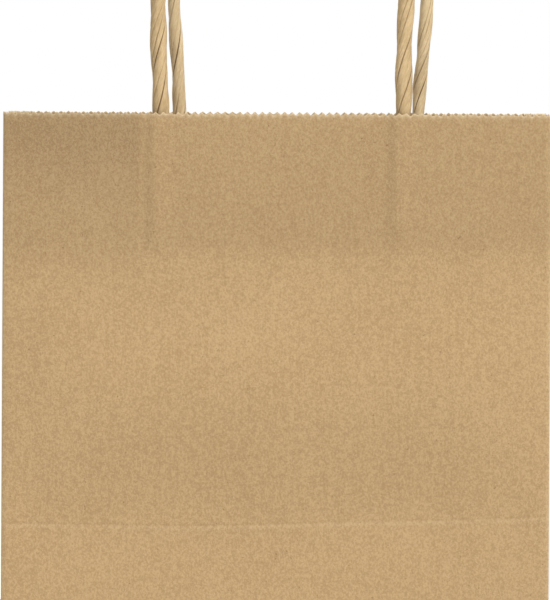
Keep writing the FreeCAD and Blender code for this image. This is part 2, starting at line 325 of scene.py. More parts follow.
def face_relief(side, across, up):
    """How far a face stands out from the plane of its corner creases."""
    seed = 11 if side == "front" else 12
    to_edge = HALF_WIDTH - np.abs(across)
    crease = store_crease(across)
    rounded = (1 - near(to_edge, FOLD_REACH)) * (1 - near(up, FOLD_REACH))
    plateau = np.sin(np.clip(to_edge / BULGE_EDGE, 0, 1) * math.pi / 2) * smooth_step(up / BULGE_FOOT)
    between_folds = smooth_step(to_edge / CREASE_HOLLOW_EDGE)
    in_field = smooth_step(to_edge / WAVE_EDGE) * rounded

    relief = FOLD_ROUND * rounded
    relief = relief + BULGE * hump(up, BULGE_HEIGHT, BULGE_REACH) * plateau
    relief = relief + LOW_BULGE * hump(up, LOW_BULGE_HEIGHT, LOW_BULGE_REACH) * plateau
    relief = relief - CREASE_HOLLOW * hump(up, crease, CREASE_HOLLOW_REACH) * between_folds
    relief = relief - CREASE_DIP * hump(up, crease, CREASE_REACH)
    relief = relief + MOUTH_BOW * smooth_step((up - BOW_FOOT) / BOW_RISE) * bowed(side, across)
    relief = relief + WAVE * ripple(across, up, WAVE_LENGTH, seed) * in_field
    relief = relief + COCKLE * ripple(across, up, COCKLE_LENGTH, seed + 20) * rounded
    relief = relief + PATCH_STEP * patch_mask(side, across, up)
    return relief + cord_ridges(side, across, up)


def corner_painted_shade(across, up):
    """Painted shade: the front face beyond its left cord is darker, most of all at the mouth, where its left
    part turns away from the light.
    """
    beyond_cord = handle_centre("front") - LEG_SPACING / 2 - CORNER_PAINTED_SHADE_EDGE - across
    low, high = [smooth_step((up - start) / rise) for start, rise in CORNER_PAINTED_SHADE_STEPS]
    return smooth_step(beyond_cord / CORNER_PAINTED_SHADE_EDGE) * (low + high) / 2


def make_face(side, sign, number):
    """The front (sign -1) or back face."""
    columns = np.linspace(-HALF_WIDTH, HALF_WIDTH, PANEL_TEETH * COLUMNS_PER_TOOTH + 1)
    rows = top_rows(*FACE_ROWS)
    heights, cut_edge = toothed_rows(rows, columns, 2 * HALF_WIDTH / PANEL_TEETH, number)
    across = np.broadcast_to(columns[:, None], heights.shape)
    depth = sign * (HALF_MOUTH + face_relief(side, across, heights))

    wear = FOLD_WEAR * near(HALF_WIDTH - np.abs(across), FOLD_WEAR_REACH)
    wear = wear + RIM_WEAR * near(heights, RIM_WEAR_REACH) + cut_edge
    # pale rubbed line below the storage crease, partly a painted highlight where the groove faces the light
    rubbed_and_highlit_line = store_crease(across) - CREASE_RUB_AND_HIGHLIGHT_BELOW
    wear = wear + CREASE_RUB_AND_HIGHLIGHT * hump(heights, rubbed_and_highlit_line, CREASE_RUB_AND_HIGHLIGHT_REACH)
    # painted shade: darker where the patch's extra plies keep light from shining through, and in the front
    # face's left corner
    ply = PATCH_PAINTED_SHADE * smooth_step((heights - PATCH_FOOT) / PATCH_PAINTED_SHADE_RISE)
    if side == "front":
        ply = np.maximum(ply, corner_painted_shade(across, heights))

    middle = np.stack([across, depth, heights], -1)
    face = thin_sheet(f"{side}_face_paper", middle, flat_place(across, heights, number), wear, ply)
    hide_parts(f"{side}_panel")
    return face


# ---------------------------------------------------------------- the sides

SIDE_ROWS = ((0, 0.5 * MM), (2 * MM, 0.8 * MM), (60 * MM, 2.4 * MM), (107 * MM, 0.4 * MM),
             (113 * MM, 2.6 * MM))
SIDE_BULGE, SIDE_BULGE_HEIGHT, SIDE_BULGE_REACH = 0.9 * MM, 175 * MM, 50 * MM
SIDE_ROUND, SIDE_ROUND_FOOT = 0.25 * MM, 3 * MM  # how far it stands proud of its creases
SIDE_WAVE, SIDE_WAVE_LENGTH, SIDE_WAVE_EDGE = 0.35 * MM, 46 * MM, 14 * MM
SIDE_COCKLE, SIDE_COCKLE_LENGTH = 0.03 * MM, 15 * MM
SIDE_DIP, SIDE_DIP_EDGE = 0.12 * MM, 1.5 * MM  # the storage crease, fading at the fold lines
SIDE_CREASE_WAVER, SIDE_CREASE_WAVER_LENGTH = 0.2 * MM, 9 * MM
# a pale rubbed line just below the storage crease, partly a painted highlight on the groove's lit lower side
SIDE_CREASE_RUB_AND_HIGHLIGHT, SIDE_CREASE_RUB_AND_HIGHLIGHT_BELOW, SIDE_CREASE_RUB_AND_HIGHLIGHT_REACH = 0.12, 0.8 * MM, 0.7 * MM
DIAGONAL_ROUND = 0.5 * MM  # how softly the diagonal crease bends


def soft_minimum(first, second, reach):
    """The smaller of two lengths, rounded over where they meet."""
    gap = np.abs(first - second)
    meeting = np.clip(1 - gap / (3 * reach), 0, 1)
    return np.minimum(first, second) - 0.25 * reach * meeting ** 2


def side_relief(along, up, store, number):
    """How far half of a side stands out from the plane of its creases."""
    to_crease = np.minimum(along, GUSSET - along)
    held = smooth_step(to_crease / SIDE_WAVE_EDGE)
    arched = np.sin(math.pi * along / GUSSET) ** 2
    bulge = SIDE_BULGE * hump(up, SIDE_BULGE_HEIGHT, SIDE_BULGE_REACH) * arched
    dip = SIDE_DIP * hump(up, store, CREASE_REACH) * smooth_step(to_crease / SIDE_DIP_EDGE)
    rounded = SIDE_ROUND * (1 - near(to_crease, FOLD_REACH)) * smooth_step(up / SIDE_ROUND_FOOT)
    waves = SIDE_WAVE * ripple(along, up, SIDE_WAVE_LENGTH, number + 40)
    cockles = SIDE_COCKLE * ripple(along, up, SIDE_COCKLE_LENGTH, number + 60)
    return (waves + cockles) * held + bulge - dip + rounded


def make_side(side, half, across_sign, depth_sign, number):
    """Half of a side: a half gusset, and under its diagonal crease half of the base triangle."""
    columns = np.linspace(0, GUSSET, GUSSET_TEETH * COLUMNS_PER_TOOTH + 1)
    rows = top_rows(*SIDE_ROWS)
    heights, cut_edge = toothed_rows(rows, columns, GUSSET / GUSSET_TEETH, number)
    along = np.broadcast_to(columns[:, None], heights.shape)
    store = STORE_CREASE_LEFT if side == "left" else STORE_CREASE_RIGHT
    store = store + SIDE_CREASE_WAVER * np.sin(along / SIDE_CREASE_WAVER_LENGTH)
    inward = CREASE_INSET * soft_minimum(along, heights, DIAGONAL_ROUND) / GUSSET
    relief = side_relief(along, heights, store, number)

    normal_x, normal_y = across_sign * math.cos(LEAN), -depth_sign * math.sin(LEAN)
    x = across_sign * (HALF_WIDTH - inward) + normal_x * relief
    y = depth_sign * (HALF_MOUTH - along * math.cos(LEAN)) + normal_y * relief

    wear = FOLD_WEAR * near(np.minimum(along, GUSSET - along), FOLD_WEAR_REACH)
    wear = wear + FOLD_WEAR * near(np.abs(along - heights), FOLD_WEAR_REACH)
    wear = wear + RIM_WEAR * near(heights, RIM_WEAR_REACH) + cut_edge
    # pale rubbed line below the storage crease, partly a painted highlight where the groove faces the light
    wear = wear + SIDE_CREASE_RUB_AND_HIGHLIGHT * hump(heights, store - SIDE_CREASE_RUB_AND_HIGHLIGHT_BELOW, SIDE_CREASE_RUB_AND_HIGHLIGHT_REACH)
    sheet = thin_sheet(f"{side}_side_{half}_paper", np.stack([x, y, heights], -1),
                       flat_place(along, heights, number), wear, np.zeros(heights.shape))
    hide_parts(f"{side}_gusset_{half}", f"{side}_base_triangle_{half}")
    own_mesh(sheet)
    return sheet


# ---------------------------------------------------------------- the base

FLAP_DEPTH_STOPS = ((0, 0.012), (0.04, 0.05), (0.96, 0.012), (1, 0))  # shares, close at the edges
FLAP_END_STOPS = ((-1, 0.004), (-0.97, 0.02), (0.97, 0.004), (1, 0))
FLAP_WAVE, FLAP_WAVE_LENGTH = 0.05 * MM, 30 * MM
FLAP_END_WEAR, INNER_EDGE_WEAR = 0.6, 0.5
TUCK_STEP = 0.9 * MM
TUCK_WAVE, TUCK_WAVE_LENGTH = 0.08 * MM, 26 * MM
MITRE_PRESS, MITRE_REACH = 0.16 * MM, 0.9 * MM
MITRE_WEAR, MITRE_WEAR_REACH = 0.5, 0.7 * MM


def squash_with_fold(piece):
    """Gives a piece of the base its own copy of its mesh."""
    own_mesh(piece)


def make_base_flap(side, sign, number):
    """A long flap of the base, its ends folded back along the diagonals."""
    low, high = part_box(f"base_flap_{side}")
    reach = high.y - low.y
    depth = reach * graded(*FLAP_DEPTH_STOPS)
    ends = graded(*FLAP_END_STOPS)
    half_length = (high.x - low.x) / 2 - depth
    folded_edge = max(abs(low.y), abs(high.y))
    x = ends[:, None] * half_length[None, :]
    y = np.broadcast_to(sign * (folded_edge - depth), x.shape)
    z = (low.z + high.z) / 2 + FLAP_WAVE * ripple(x, y, FLAP_WAVE_LENGTH, number)

    wear = FLAP_END_WEAR * near((1 - np.abs(ends))[:, None] * half_length[None, :], RIM_WEAR_REACH)
    wear = wear + INNER_EDGE_WEAR * near(reach - depth, RIM_WEAR_REACH)[None, :]
    flap = thin_sheet(f"base_flap_{side}_paper", np.stack([x, y, z], -1), flat_place(x, y, number),
                      wear, np.zeros(x.shape))
    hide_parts(f"base_flap_{side}")
    squash_with_fold(flap)
    return flap


def make_base_tuck(side, sign, number):
    """A side tuck of the base, with its mitred corners pressed in."""
    low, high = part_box(f"{side}_base_tuck")
    columns = graded((low.x, TUCK_STEP), (high.x, 0))
    rows = graded((low.y, TUCK_STEP), (high.y, 0))
    x, y = np.meshgrid(columns, rows, indexing="ij")
    mitre = np.abs(HALF_WIDTH - np.abs(x) - (HALF_MOUTH - np.abs(y)))
    pressed = MITRE_PRESS * near(mitre, MITRE_REACH)
    z = (low.z + high.z) / 2 + pressed + TUCK_WAVE * ripple(x, y, TUCK_WAVE_LENGTH, number)

    inner_edge = high.x if sign < 0 else low.x
    wear = MITRE_WEAR * near(mitre, MITRE_WEAR_REACH)
    wear = wear + INNER_EDGE_WEAR * near(np.abs(x - inner_edge), FOLD_WEAR_REACH)
    tuck = thin_sheet(f"{side}_base_tuck_paper", np.stack([x, y, z], -1), flat_place(x, y, number),
                      wear, np.zeros(x.shape))
    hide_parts(f"{side}_base_tuck")
    squash_with_fold(tuck)
    return tuck


# ---------------------------------------------------------------- the cords' place

CORD_WIDTHS = {"front": 6.1 * MM, "back": 5.0 * MM}
GLUED_SQUEEZE = 0.84  # how thick a glued end is, pressed between the strips
GLUED_SWELL = 1.08  # its widest part, against the cord's own radius
CORD_LAYERS = 1.9  # papers between a face's middle and the glued cord, with the glue
LEAVING_BELOW, LEAVING_RISE = 15 * MM, 13 * MM  # where the cord leaves the patch for its hinge


def cord_depth(side, across, up):
    """How far a cord's axis is from the bag's middle plane: against its face where glued, and at its
    hinge above the mouth."""
    face = HALF_MOUTH + face_relief(side, across, np.minimum(up, HEIGHT))
    glued = face - CORD_LAYERS * PAPER - GLUED_SWELL * GLUED_SQUEEZE * CORD_WIDTHS[side] / 2
    hinge = abs(joints[f"{side}_handle_swing"]["pos_m"][1])
    leaving = smooth_step((up - (HEIGHT - LEAVING_BELOW)) / LEAVING_RISE)
    return glued + (hinge - glued) * leaving


# ---------------------------------------------------------------- seam and patches

BASE_LAYERS = 1.1  # papers between a face's middle and a patch's first strip, with the glue
COVER_LAYERS = 2.2
SEAM_LAYERS = 1.15
PATCH_STEPS = 0.7 * MM, 1.5 * MM  # across and up
SEAM_STEPS = 0.8 * MM, 3 * MM
STRIP_WEAR, STRIP_WEAR_REACH = 0.7, 0.4 * MM
COVER_SWELL = 1.12  # how far the cover stands over a cord, as a share of the cord's radius
COVER_GAP = 0.25 * MM
SHOULDER_START, SHOULDER_WIDTH = 0.95, 1.5  # cord radii: where the cover leaves the cord, and its slope
COVER_START, COVER_RISE = 4 * MM, 5 * MM  # below a cord's end, and how soon the cover is over it
WRINKLE, WRINKLE_LENGTH = 0.1 * MM, 13 * MM
SEAM_COCKLE, SEAM_COCKLE_LENGTH = 0.08 * MM, 22 * MM


def strip_inside(name, side, sign, box, steps, lift, number):
    """A strip of paper glued inside a face, lifted off it by a given distance at each point."""
    low, high = box
    columns = graded((low.x, steps[0]), (high.x, 0))
    rows = graded((low.z, steps[1]), (high.z, 0))
    x, z = np.meshgrid(columns, rows, indexing="ij")
    depth = HALF_MOUTH + face_relief(side, x, z) - lift(x, z)
    to_side = np.minimum(x - columns[0], columns[-1] - x)
    to_end = np.minimum(z - rows[0], rows[-1] - z)
    wear = STRIP_WEAR * near(np.minimum(to_side, to_end), STRIP_WEAR_REACH)
    return thin_sheet(name, np.stack([x, sign * depth, z], -1), flat_place(x, z, number), wear,
                      np.ones(x.shape))


def make_patch(side, sign, number):
    """The two strips of a handle patch: one against the face, and one draped over the cords."""
    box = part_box(f"{side}_patch_base")
    radius = CORD_WIDTHS[side] / 2

    def against_face(x, z):
        return np.full(x.shape, BASE_LAYERS * PAPER)

    def over_cords(x, z):
        raised = np.zeros(x.shape)
        for leg_sign in (-1, 1):
            leg = handle_centre(side) + leg_sign * LEG_SPACING / 2
            beside = np.abs(x - leg) / radius
            shoulder = 1 - smooth_step((beside - SHOULDER_START) / SHOULDER_WIDTH)
            along = smooth_step((z - LEG_FOOT + COVER_START) / COVER_RISE)
            flat_cover = HALF_MOUTH + face_relief(side, x, z) - COVER_LAYERS * PAPER
            rise = flat_cover - cord_depth(side, leg + 0 * x, z) + COVER_SWELL * radius + COVER_GAP
            raised = raised + rise * shoulder * along
        wrinkle = WRINKLE * np.abs(ripple(x, z, WRINKLE_LENGTH, number + 5)) * (1 + raised / radius)
        return COVER_LAYERS * PAPER + raised + wrinkle

    base = strip_inside(f"{side}_patch_base_paper", side, sign, box, PATCH_STEPS, against_face, number)
    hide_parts(f"{side}_patch_base")
    cover = strip_inside(f"{side}_patch_cover_paper", side, sign, box, PATCH_STEPS, over_cords,
                         number + 1)
    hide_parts(f"{side}_patch_cover")
    return [base, cover]


def make_seam(number):
    """The glued lap that closes the tube, inside the back face."""
    def glued(x, z):
        cockle = np.abs(ripple(x, z, SEAM_COCKLE_LENGTH, number))
        return SEAM_LAYERS * PAPER + SEAM_COCKLE * cockle

    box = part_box("side_seam_flap")
    seam = strip_inside("side_seam_paper", "back", 1, box, SEAM_STEPS, glued, number)
    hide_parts("side_seam_flap")
    return seam


# ---------------------------------------------------------------- twisted cords

CORD_STEP = 0.45 * MM  # between rings along the cord
FREE_START, FREE_RISE = 2 * MM, 20 * MM  # above the hinge, where the cord starts to go its own way
SPREAD_HEIGHT, SPREAD_REACH = 40 * MM, 30 * MM  # above the hinge, where its legs bow apart
SIDE_WANDER, SIDE_WANDER_LENGTH = 0.25 * MM, 70 * MM
DEPTH_WANDER, DEPTH_WANDER_LENGTH = 0.7 * MM, 80 * MM
SQUEEZE_BELOW, SQUEEZE_FADE = 12 * MM, 14 * MM  # where the glued end swells back to full thickness

TWIST_PITCH = 53 * MM
TWIST_UNEVEN, TWIST_UNEVEN_LENGTH = 0.4, 60 * MM
CREASE_WANDER, CREASE_WANDER_LENGTH = 0.2, 38 * MM
CREASE_STRENGTH, CREASE_STRENGTH_SWING, CREASE_STRENGTH_LENGTH = 0.9, 0.75, 46 * MM
CREASE_STRENGTH_RANGE = (0.05, 1.25)
CREASE_SHOULDER, CREASE_SHOULDER_REACH = 0.05, 0.4  # the cord sinks towards a crease, in its own radii
CREASE_OVERLAP, CREASE_OVERLAP_REACH = 0.05, 0.35  # and its paper stands over it on one side
CREASES = (  # where round the cord each crease of the twisted paper lies, its depth and its reach
    (0.0, 0.20, 0.085),
    (0.9, 0.07, 0.07),
    (1.9, 0.15, 0.08),
    (2.8, 0.06, 0.07),
    (3.9, 0.18, 0.09),
    (4.7, 0.08, 0.07),
    (5.5, 0.06, 0.06),
)
BESIDE_CREASE = np.array([-0.22, -0.13, -0.07, -0.03, 0.0, 0.03, 0.07, 0.13, 0.22])
DEEP_CREASE = 0.15  # a crease as deep as this has the full shade
OVAL, THREE_SIDED = 0.075, 0.025  # how far the section is from round
SWELL, SWELL_LENGTH = 0.03, 26 * MM
LUMP, LUMP_LENGTH = 0.012, 9 * MM
STRAND, STRAND_WIDTH = 0.008, 1.1 * MM
FULLNESS = 0.03  # makes up for what the creases take from its width
CORDS_APART = 0.2  # between one cord's paper and another's


def handle_route(side, sway, spread):
    """Points along a handle from one glued end to the other, and their distances along it.
    The free part leans sideways by the sway, and its legs bow apart by the spread."""
    low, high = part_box(f"{side}_handle_loop")
    pivot = joints[f"{side}_handle_swing"]["pos_m"]
    arch = (high.x - low.x) / 2 - CORD_RADIUS
    centre_rise = high.z - CORD_RADIUS - arch - pivot[2]
    half = LEG_SPACING / 2
    splay = math.asin(arch / math.hypot(half, centre_rise)) - math.atan(half / centre_rise)
    straight = math.sqrt(half ** 2 + centre_rise ** 2 - arch ** 2)
    bend = math.pi + 2 * splay
    total = 2 * (pivot[2] - LEG_FOOT + straight) + arch * bend

    distance = np.linspace(0, total, round(total / CORD_STEP) + 1)
    from_middle = distance - total / 2
    past_arch = np.abs(from_middle) - arch * bend / 2
    turn = np.clip(from_middle / arch, -bend / 2, bend / 2)
    leg = np.clip(past_arch, 0, straight)
    x = arch * np.sin(turn) - np.sign(from_middle) * leg * math.sin(splay)
    z = centre_rise + arch * np.cos(turn) - leg * math.cos(splay) - np.clip(past_arch - straight, 0, None)

    seed = 71 if side == "front" else 72
    still = 0 * distance
    free = smooth_step((z - FREE_START) / FREE_RISE)
    x = x + sway * free + spread * x / arch * hump(z, SPREAD_HEIGHT, SPREAD_REACH)
    x = x + SIDE_WANDER * ripple(distance, still, SIDE_WANDER_LENGTH, seed) * free
    y = DEPTH_WANDER * ripple(distance, still, DEPTH_WANDER_LENGTH, seed + 2) * free
    y = y + math.copysign(1, pivot[1]) * cord_depth(side, pivot[0] + np.sign(x) * half, pivot[2] + z)
    return np.stack([pivot[0] + x, y, pivot[2] + z], -1), distance


def cord_columns():
    """Angles round the cord: close together at each crease, wider apart between."""
    angles = [start + offset for start, _, _ in CREASES for offset in BESIDE_CREASE]
    around = [start for start, _, _ in CREASES] + [CREASES[0][0] + 2 * math.pi]
    for start, end in zip(around, around[1:]):
        angles += list(np.linspace(start + BESIDE_CREASE[-1], end + BESIDE_CREASE[0], 6)[1:-1])
    return np.sort(np.array(angles))


def wrapped(angle):
    """The angle brought between -pi and pi."""
    return (angle + math.pi) % (2 * math.pi) - math.pi


def wandering(column, distance, number):
    """Angles of the columns on each ring, as every crease wanders a little from its place."""
    starts = [start for start, _, _ in CREASES]
    places = np.array([starts[-1] - 2 * math.pi] + starts + [starts[0] + 2 * math.pi])
    wander = [CREASE_WANDER * ripple(distance, 0 * distance, CREASE_WANDER_LENGTH, number * 10 + index)
              for index in range(len(CREASES))]
    wander_round = np.stack([wander[-1]] + wander + [wander[0]])
    shift = np.stack([np.interp(column, places, ring) for ring in wander_round.T])
    return column[None, :] + shift


def twisted_section(column, own_angle, distance, number):
    """The cord's radius round each ring, as a share of its own, and how deep in a crease each
    point lies."""
    radius = np.ones(own_angle.shape)
    hollow = np.zeros(own_angle.shape)
    for index, (start, depth, reach) in enumerate(CREASES):
        seed = number * 10 + 50 + index
        swing = ripple(distance, 0 * distance, CREASE_STRENGTH_LENGTH, seed)
        strength = CREASE_STRENGTH + CREASE_STRENGTH_SWING * swing
        strength = np.clip(strength, *CREASE_STRENGTH_RANGE)[:, None]
        away = wrapped(column - start)[None, :]
        fold = np.exp(-np.abs(away / reach) ** 1.3)
        shoulder = CREASE_SHOULDER * hump(away, 0, CREASE_SHOULDER_REACH)
        overlap = CREASE_OVERLAP * near(np.clip(away, 0, None), CREASE_OVERLAP_REACH) * (away > 0.01)
        radius = radius - strength * (depth * fold + shoulder - overlap)
        hollow = np.maximum(hollow, strength * fold * min(1, depth / DEEP_CREASE))
    oval = OVAL * np.cos(2 * own_angle + 0.8) + THREE_SIDED * np.cos(3 * own_angle + 2.1)
    return radius + oval, np.clip(hollow, 0, 1)


def cord_thickness(section, own_angle, distance, up, width, number):
    """Real radii of the rings: swelling along the cord, lightly stranded, pressed where glued."""
    still = 0 * distance
    swell = SWELL * ripple(distance, still, SWELL_LENGTH, number + 7)
    swell = swell + LUMP * ripple(distance, still, LUMP_LENGTH, number + 8)
    strands = ripple(own_angle * 3 * MM, distance[:, None] * 0.06, STRAND_WIDTH, number + 9)
    radius = width / 2 * (section * (1 + swell[:, None]) + STRAND * strands + FULLNESS)
    squeezed = 1 - smooth_step((up - (HEIGHT - SQUEEZE_BELOW)) / SQUEEZE_FADE)
    return radius * (1 - (1 - GLUED_SQUEEZE) * squeezed[:, None])


def make_handle(side, sway, spread, number):
    """A handle: paper twisted tightly into a cord, so that its creases climb round it to the right."""
    points, distance = handle_route(side, sway, spread)
    width = CORD_WIDTHS[side]
    tangent = unit(np.gradient(points, axis=0))
    in_plane = unit(np.cross(np.array([0.0, 1.0, 0.0]), tangent))
    out_of_plane = unit(np.cross(tangent, in_plane))

    lay = 2 * math.pi * distance / TWIST_PITCH
    lay = lay + TWIST_UNEVEN * ripple(distance, 0 * distance, TWIST_UNEVEN_LENGTH, number + 1)
    column = cord_columns()
    own_angle = wandering(column, distance, number)
    angle = (own_angle - lay[:, None])[..., None]
    section, hollow = twisted_section(column, own_angle, distance, number)
    radius = cord_thickness(section, own_angle, distance, points[:, 2], width, number)
    outward = np.cos(angle) * in_plane[:, None, :] - np.sin(angle) * out_of_plane[:, None, :]
    rings = points[:, None, :] + radius[..., None] * outward

    index = np.arange(own_angle.size).reshape(own_angle.shape)
    following = np.roll(index, -1, axis=1)
    faces = np.stack([index[:-1], index[1:], following[1:], following[:-1]], -1).reshape(-1, 4).tolist()
    faces += [index[0].tolist(), index[-1, ::-1].tolist()]
    cord = add_mesh(f"{side}_handle_cord", rings.reshape(-1, 3), faces)
    along = np.broadcast_to(distance[:, None], own_angle.shape)
    flat = np.stack([own_angle * width / 2, along, np.full(own_angle.shape, number * CORDS_APART)], -1)
    set_attribute(cord, "paper", flat.reshape(-1, 3))
    set_attribute(cord, "hollow", hollow.reshape(-1))
    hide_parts(f"{side}_handle_ends", f"{side}_handle_loop")
    return cord


# ---------------------------------------------------------------- materials

FLOOR = 2.3  # half its width
FLOOR_FADE = 0.75
FLOOR_COLOURS = (0.80, 0.795, 0.785, 1), (0.83, 0.825, 0.82, 1)
SPECK_COLOUR = (0.2, 0.105, 0.045, 1)
# painted shadow for the cord's creases, also used for its real dark specks
CORD_SPECKS_AND_PAINTED_SHADOW = (0.14, 0.07, 0.028, 1)


class Material:
    """A node material, built from plain calls."""

    def __init__(self, name):
        self.material = bpy.data.materials.new(name)
        self.material.use_nodes = True
        self.tree = self.material.node_tree
        self.shader = self.tree.nodes["Principled BSDF"]

    def link(self, value, socket):
        if isinstance(value, bpy.types.NodeSocket):
            self.tree.links.new(value, socket)
        else:
            socket.default_value = value

    def attribute(self, name, output):
        node = self.tree.nodes.new("ShaderNodeAttribute")
        node.attribute_name = name
        return node.outputs[output]

    def stretched(self, vector, scale):
        node = self.tree.nodes.new("ShaderNodeMapping")
        self.link(vector, node.inputs["Vector"])
        node.inputs["Scale"].default_value = scale
        return node.outputs["Vector"]

    def noise(self, vector, scale, detail=2.0, roughness=0.5, distortion=0.0):
        """Noise with so many bumps to the metre along each axis."""
        node = self.tree.nodes.new("ShaderNodeTexNoise")
        self.link(self.stretched(vector, scale), node.inputs["Vector"])
        node.inputs["Scale"].default_value = 1.0
        node.inputs["Detail"].default_value = detail
        node.inputs["Roughness"].default_value = roughness
        node.inputs["Distortion"].default_value = distortion
        return node.outputs["Fac"]

    def math(self, operation, first, second):
        node = self.tree.nodes.new("ShaderNodeMath")
        node.operation = operation
        self.link(first, node.inputs[0])
        self.link(second, node.inputs[1])
        return node.outputs[0]

    def ramp(self, value, low, high, to_low=0.0, to_high=1.0):
        """The value taken smoothly from the range low to high into another range."""
        node = self.tree.nodes.new("ShaderNodeMapRange")
        node.interpolation_type = "SMOOTHSTEP"
        self.link(value, node.inputs["Value"])
        node.inputs["From Min"].default_value = low
        node.inputs["From Max"].default_value = high
        node.inputs["To Min"].default_value = to_low
        node.inputs["To Max"].default_value = to_high
        return node.outputs["Result"]

    def mix(self, share, first, second):
        node = self.tree.nodes.new("ShaderNodeMix")
        node.data_type = "RGBA"
        self.link(share, node.inputs["Factor"])
        self.link(first, node.inputs["A"])
        self.link(second, node.inputs["B"])
        return node.outputs["Result"]

    def darkened(self, colour, share):
        """The colour with a share of it taken away."""
        node = self.tree.nodes.new("ShaderNodeVectorMath")
        node.operation = "SCALE"
        self.link(colour, node.inputs["Vector"])
        self.link(self.math("SUBTRACT", 1.0, share), node.inputs["Scale"])
        return node.outputs["Vector"]

    def weighted(self, *pairs):
        """The sum of values, each times its weight."""
        total = 0.0
        for value, weight in pairs:
            total = self.math("ADD", self.math("MULTIPLY", value, weight), total)
        return total

    def finish(self, colour, roughness, height, bump, specular=0.3):
        """Joins colour, roughness and a bump of the given depth to the shader."""
        self.link(colour, self.shader.inputs["Base Color"])
        self.link(roughness, self.shader.inputs["Roughness"])
        self.shader.inputs["Specular IOR Level"].default_value = specular
        node = self.tree.nodes.new("ShaderNodeBump")
        node.inputs["Strength"].default_value = 1.0
        node.inputs["Distance"].default_value = bump
        self.link(height, node.inputs["Height"])
        self.link(node.outputs["Normal"], self.shader.inputs["Normal"])
        return self.material


def kraft_material(name, dark, light, pale, painted_shade_depth):
    """Uncoated brown kraft: upright fibres, cloudy mottling, specks, pale rubbed folds and cut edges with a
    painted highlight under the storage crease, and painted shade where paper behind keeps light from shining
    through and in the front face's left corner.
    """
    m = Material(name)
    place = m.attribute("paper", "Vector")
    fibres = m.noise(place, (1300, 980, 90), 2.0, 0.6)
    fine = m.noise(place, (2700, 2100, 90), 1.0, 0.5)
    mottle = m.noise(place, (420, 300, 40), 2.0, 0.5, 0.4)
    cloud = m.noise(place, (38, 24, 11), 2.0, 0.5)
    ribs = m.noise(place, (620, 30, 60), 1.0, 0.5)
    tone = m.weighted((fibres, 0.46), (fine, 0.28), (mottle, 0.12), (cloud, 0.08), (ribs, 0.06))
    colour = m.mix(m.ramp(tone, 0.39, 0.61), dark, light)

    strands = m.noise(place, (420, 3100, 70), 1.0, 0.4, 1.5)
    strand_mask = m.noise(place, (210, 210, 33), 1.0)
    dark_fibre = m.math("MULTIPLY", m.ramp(strands, 0.69, 0.75), m.ramp(strand_mask, 0.52, 0.62))
    specks = m.ramp(m.noise(place, (950, 800, 50), 1.0), 0.745, 0.79)
    marks = m.math("MAXIMUM", m.math("MULTIPLY", specks, 0.55), m.math("MULTIPLY", dark_fibre, 0.5))
    colour = m.mix(marks, colour, SPECK_COLOUR)
    pale_fibre = m.ramp(m.noise(place, (640, 2300, 120), 1.0, 0.4, 1.2), 0.7, 0.8, 0.0, 0.3)
    colour = m.mix(pale_fibre, colour, pale)

    # pale rubbed folds and cut edges, with the painted highlight under the storage crease
    patchy = m.ramp(m.weighted((fibres, 0.5), (mottle, 0.5)), 0.3, 0.62, 0.45, 1.0)
    rubbed_and_highlit = m.math("MULTIPLY", m.attribute("wear", "Fac"), patchy)
    colour = m.mix(rubbed_and_highlit, colour, pale)
    # painted shade laid over the colour, as the attribute asks
    colour = m.darkened(colour, m.math("MULTIPLY", m.attribute("ply", "Fac"), painted_shade_depth))

    rough = m.ramp(tone, 0.35, 0.65, 0.9, 0.74)
    height = m.weighted((fibres, 0.4), (fine, 0.25), (mottle, 0.35), (ribs, 0.2))
    return m.finish(colour, rough, height, 0.16 * MM)


def cord_material(name, dark, light):
    """Twisted paper cord: fibres that run with the twist, painted shadow in its creases, and dark specks."""
    m = Material(name)
    place = m.attribute("paper", "Vector")
    fibres = m.noise(place, (2600, 420, 90), 3.0, 0.6)
    mottle = m.noise(place, (520, 160, 40), 3.0, 0.6)
    cloud = m.noise(place, (150, 34, 11), 2.0, 0.5)
    tone = m.weighted((fibres, 0.45), (mottle, 0.35), (cloud, 0.2))
    colour = m.mix(m.ramp(tone, 0.33, 0.67), dark, light)
    # painted shadow in the twist's creases, deepest where the crease is deepest
    painted_crease_shadow = m.ramp(m.attribute("hollow", "Fac"), 0.12, 0.9, 0.0, 0.92)
    colour = m.mix(painted_crease_shadow, colour, CORD_SPECKS_AND_PAINTED_SHADOW)
    # real dark specks, in the same colour as the painted crease shadow
    specks = m.ramp(m.noise(place, (1000, 700, 50), 1.0), 0.76, 0.8, 0.0, 0.4)
    colour = m.mix(specks, colour, CORD_SPECKS_AND_PAINTED_SHADOW)
    rough = m.ramp(tone, 0.35, 0.65, 0.85, 0.68)
    height = m.weighted((fibres, 0.55), (mottle, 0.45))
    return m.finish(colour, rough, height, 0.2 * MM)


def floor_material():
    """A pale studio floor that fades into the white backdrop with distance."""
    m = Material("pale_floor")
    place = m.tree.nodes.new("ShaderNodeTexCoord").outputs["Object"]
    grain = m.noise(place, (9, 9, 9), 4.0)
    colour = m.mix(m.ramp(grain, 0.3, 0.7), *FLOOR_COLOURS)
    m.finish(colour, 0.85, grain, 0.1 * MM, 0.2)
    distance = m.tree.nodes.new("ShaderNodeVectorMath")
    distance.operation = "LENGTH"
    m.link(place, distance.inputs[0])
    fade = m.tree.nodes.new("ShaderNodeMixShader")
    m.link(m.ramp(distance.outputs["Value"], FLOOR_FADE, FLOOR), fade.inputs["Fac"])
    m.link(m.shader.outputs["BSDF"], fade.inputs[1])
    m.link(m.tree.nodes.new("ShaderNodeBsdfTransparent").outputs["BSDF"], fade.inputs[2])
    m.link(fade.outputs["Shader"], m.tree.nodes["Material Output"].inputs["Surface"])
    return m.material


